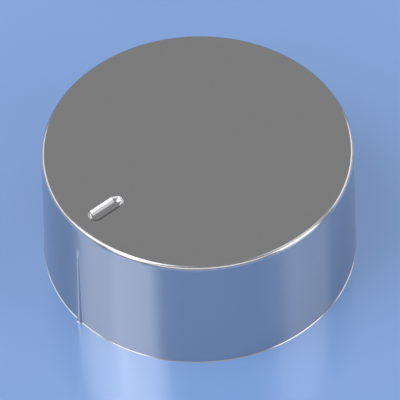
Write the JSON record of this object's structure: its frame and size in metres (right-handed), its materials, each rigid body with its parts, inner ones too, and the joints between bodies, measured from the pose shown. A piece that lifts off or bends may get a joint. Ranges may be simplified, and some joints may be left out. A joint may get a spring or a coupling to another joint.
{
  "type": "oven control knob",
  "caption": "Round satin silver control knob with a sunk pointer mark in its face, a pointer rib on its wall and a sprung hub for a D-shaped shaft.",
  "frame": {"origin": "centre of the rim's plane, on the shaft's axis", "axes": "+Z along the shaft's axis out of the face, -Y towards the pointer mark and rib"},
  "size_m": [0.0432, 0.0435, 0.0191],
  "materials": {
    "cap_silver": "satin",
    "insert_black": "moulded, heat-resistant",
    "spring_steel": "rolled strip"
  },
  "bodies": {
    "root": {"knob_cap": "cap_silver", "hub_insert": "insert_black", "shaft_spring": "spring_steel"}
  },
  "joints": []
}
